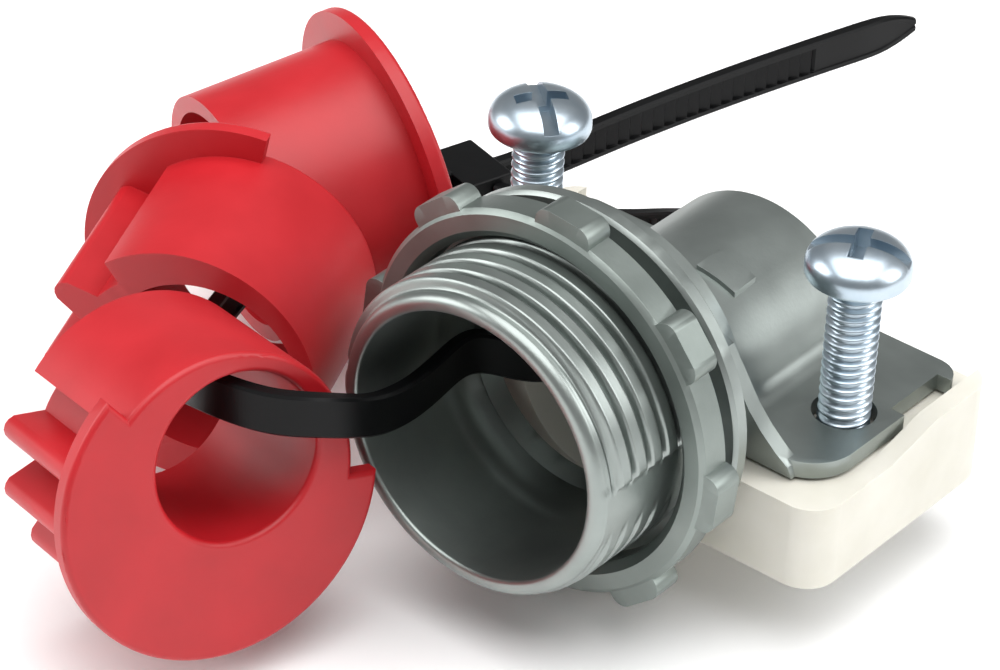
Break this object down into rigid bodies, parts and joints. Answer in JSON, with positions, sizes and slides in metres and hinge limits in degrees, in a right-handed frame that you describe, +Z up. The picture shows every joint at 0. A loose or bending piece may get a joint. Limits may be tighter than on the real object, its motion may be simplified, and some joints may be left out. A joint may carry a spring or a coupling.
{
  "type": "cable gland",
  "caption": "Die-cast cable connector with locknut, screw-down plastic saddle, and eccentric bushings held on by a nylon cable tie.",
  "frame": {"origin": "centre of the shoulder's front face, on the axis of the nose", "axes": "-Y out along the threaded nose into the box, +Y towards the cable side, +Z up along the clamp screws, +X to the right seen from the nose"},
  "size_m": [0.071, 0.1165, 0.0355],
  "materials": {
    "zinc_casting": "satin, as cast",
    "zinc_locknut": "satin, as cast",
    "white_plastic": "satin moulded",
    "zinc_plated_steel": "bright blue zinc plate",
    "red_plastic": "satin moulded",
    "black_nylon": "slightly glossy nylon"
  },
  "bodies": {
    "connector": {"connector_body": "zinc_casting"},
    "locknut": {"locknut": "zinc_locknut"},
    "saddle": {"clamp_saddle": "white_plastic"},
    "screw_right": {"clamp_screw_right": "zinc_plated_steel"},
    "screw_left": {"clamp_screw_left": "zinc_plated_steel"},
    "tie": {"cable_tie": "black_nylon"},
    "small_bushing": {"bushing_small": "red_plastic"},
    "medium_bushing": {"bushing_medium": "red_plastic"},
    "large_bushing": {"bushing_large": "red_plastic"}
  },
  "joints": [
    {"name": "locknut_travel", "type": "slide", "parent": "connector", "child": "locknut", "axis": [0, -1, 0], "range_m": [-0.0017, 0.0065]},
    {"name": "saddle_travel", "type": "slide", "parent": "connector", "child": "saddle", "axis": [0, 0, 1], "range_m": [-0.006, 0]},
    {"name": "screw_right_travel", "type": "slide", "parent": "connector", "child": "screw_right", "axis": [0, 0, 1], "range_m": [-0.0121, 0]},
    {"name": "screw_left_travel", "type": "slide", "parent": "connector", "child": "screw_left", "axis": [0, 0, 1], "range_m": [-0.0121, 0]},
    {"name": "tie_swing", "type": "hinge", "parent": "connector", "child": "tie", "pos_m": [0, 0, 0], "axis": [0, 1, 0], "range_deg": [0, 4]},
    {"name": "small_bushing_turn", "type": "hinge", "parent": "tie", "child": "small_bushing", "pos_m": [-0.01136, -0.0251, 0.00026], "axis": [0.9336, -0.3129, 0.1749], "range_deg": [-25, 0]},
    {"name": "medium_bushing_turn", "type": "hinge", "parent": "tie", "child": "medium_bushing", "pos_m": [-0.03267, 0.0017, -0.00477], "axis": [-0.3813, 0.9231, 0.0502], "range_deg": [0, 25]},
    {"name": "large_bushing_turn", "type": "hinge", "parent": "tie", "child": "large_bushing", "pos_m": [-0.0345, 0.019, -0.0035], "axis": [0.3768, 0.9126, 0.1589], "continuous": true}
  ]
}
